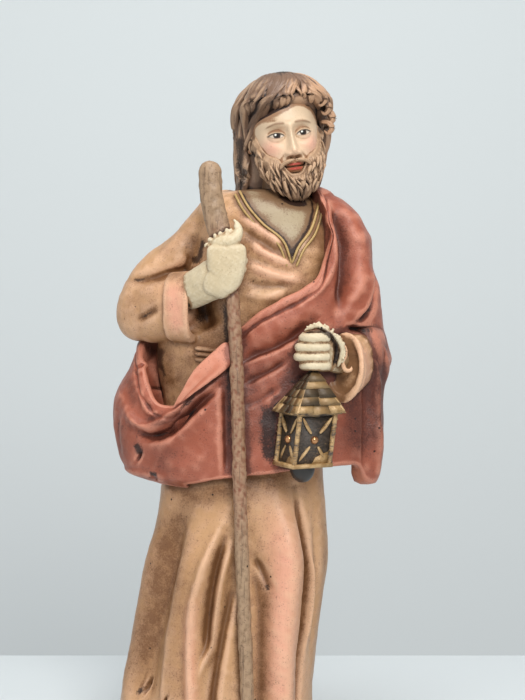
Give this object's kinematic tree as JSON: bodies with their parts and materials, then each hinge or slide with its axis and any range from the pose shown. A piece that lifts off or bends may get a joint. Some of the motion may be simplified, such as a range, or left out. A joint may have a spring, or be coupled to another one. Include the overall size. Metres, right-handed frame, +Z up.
{
  "type": "nativity joseph figurine",
  "caption": "Standing bearded man in a draped robe and mantle, holding a tall staff and a square lantern, cast in one on a low oval base; stands on a flat surface.",
  "frame": {"origin": "middle of the flat underside of the base", "axes": "+Z up, -Y towards the front of the figure, +X to the viewer's right, where the lantern is held"},
  "size_m": [0.1298, 0.0981, 0.2988],
  "materials": {
    "painted_resin": "satin paint over cast resin, with a dark wash in the recesses"
  },
  "bodies": {
    "root": {"nativity_figure": "painted_resin"}
  },
  "joints": []
}
